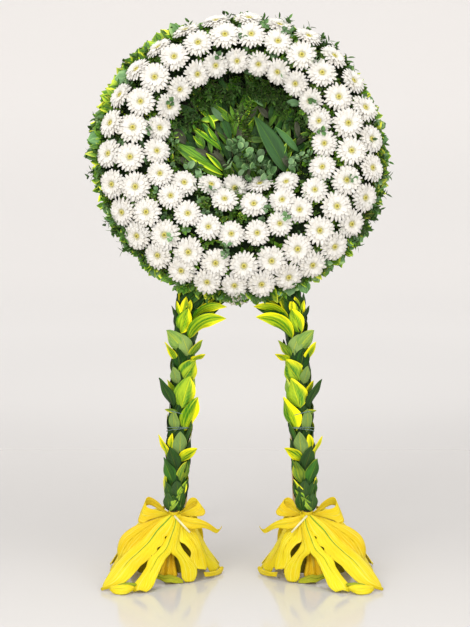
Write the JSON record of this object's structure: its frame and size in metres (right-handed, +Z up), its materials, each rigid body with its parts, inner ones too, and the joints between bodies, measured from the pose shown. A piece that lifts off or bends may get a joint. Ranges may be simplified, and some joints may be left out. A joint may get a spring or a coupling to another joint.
{
  "type": "standing wreath",
  "caption": "Standing memorial wreath: a round bed of white gerberas and greenery on two leaf-wrapped legs with yellow bows and monstera leaves.",
  "frame": {"origin": "on the floor, at the middle of the footprint of the whole wreath", "axes": "+Z up, +X to the right of someone facing the flowers, +Y from the flowers towards the back of the easel"},
  "size_m": [1.0806, 0.9951, 1.9689],
  "materials": {
    "timber": "planed softwood, matt",
    "plywood": "stained plywood, matt",
    "moss_foam": "moss-covered damp foam, rough",
    "gerbera": "soft petals, satin",
    "box_leaf": "waxy leaf, satin",
    "green_leaf": "waxy leaf, satin",
    "dark_leaf": "glossy leaf",
    "variegated_leaf": "waxy leaf, satin",
    "eucalyptus": "powdery leaf, matt",
    "yellow_leaf": "sprayed leaf, satin",
    "twine": "waxed twine, matt"
  },
  "bodies": {
    "root": {"post_left": "timber", "strut_left": "timber", "side_stay_left": "timber", "gusset_left": "plywood", "post_right": "timber", "strut_right": "timber", "side_stay_right": "timber", "gusset_right": "plywood", "lower_rail": "timber", "upper_rail": "timber", "backing_board": "plywood", "foam_ring": "moss_foam", "outer_flowers_1": "gerbera", "outer_flowers_2": "gerbera", "outer_flowers_3": "gerbera", "outer_flowers_4": "gerbera", "crest_flowers_1": "gerbera", "crest_flowers_2": "gerbera", "crest_flowers_3": "gerbera", "inner_flowers_1": "gerbera", "inner_flowers_2": "gerbera", "lip_flowers": "gerbera", "middle_flowers": "gerbera", "rim_twigs_1": "box_leaf", "rim_twigs_2": "box_leaf", "rim_twigs_3": "box_leaf", "rim_twigs_4": "box_leaf", "fan_leaf_1": "green_leaf", "fan_leaf_2": "variegated_leaf", "fan_leaf_3": "dark_leaf", "fan_leaf_4": "dark_leaf", "fan_leaf_5": "green_leaf", "ruscus_spray": "green_leaf", "eucalyptus_spray": "eucalyptus", "leaf_whorl_left_1": "green_leaf", "leaf_whorl_left_2": "variegated_leaf", "leaf_whorl_left_3": "green_leaf", "leaf_whorl_left_4": "variegated_leaf", "leaf_whorl_left_5": "green_leaf", "leaf_whorl_left_6": "variegated_leaf", "foot_tie_left": "twine", "monstera_leaf_front_left": "yellow_leaf", "monstera_leaf_side_left": "yellow_leaf", "monstera_leaf_back_left": "yellow_leaf", "bow_loop_outer_left": "yellow_leaf", "bow_loop_inner_left": "yellow_leaf", "leaf_whorl_right_1": "green_leaf", "leaf_whorl_right_2": "variegated_leaf", "leaf_whorl_right_3": "green_leaf", "leaf_whorl_right_4": "variegated_leaf", "leaf_whorl_right_5": "green_leaf", "leaf_whorl_right_6": "variegated_leaf", "foot_tie_right": "twine", "monstera_leaf_front_right": "yellow_leaf", "monstera_leaf_side_right": "yellow_leaf", "monstera_leaf_back_right": "yellow_leaf", "bow_loop_outer_right": "yellow_leaf", "bow_loop_inner_right": "yellow_leaf"}
  },
  "joints": []
}
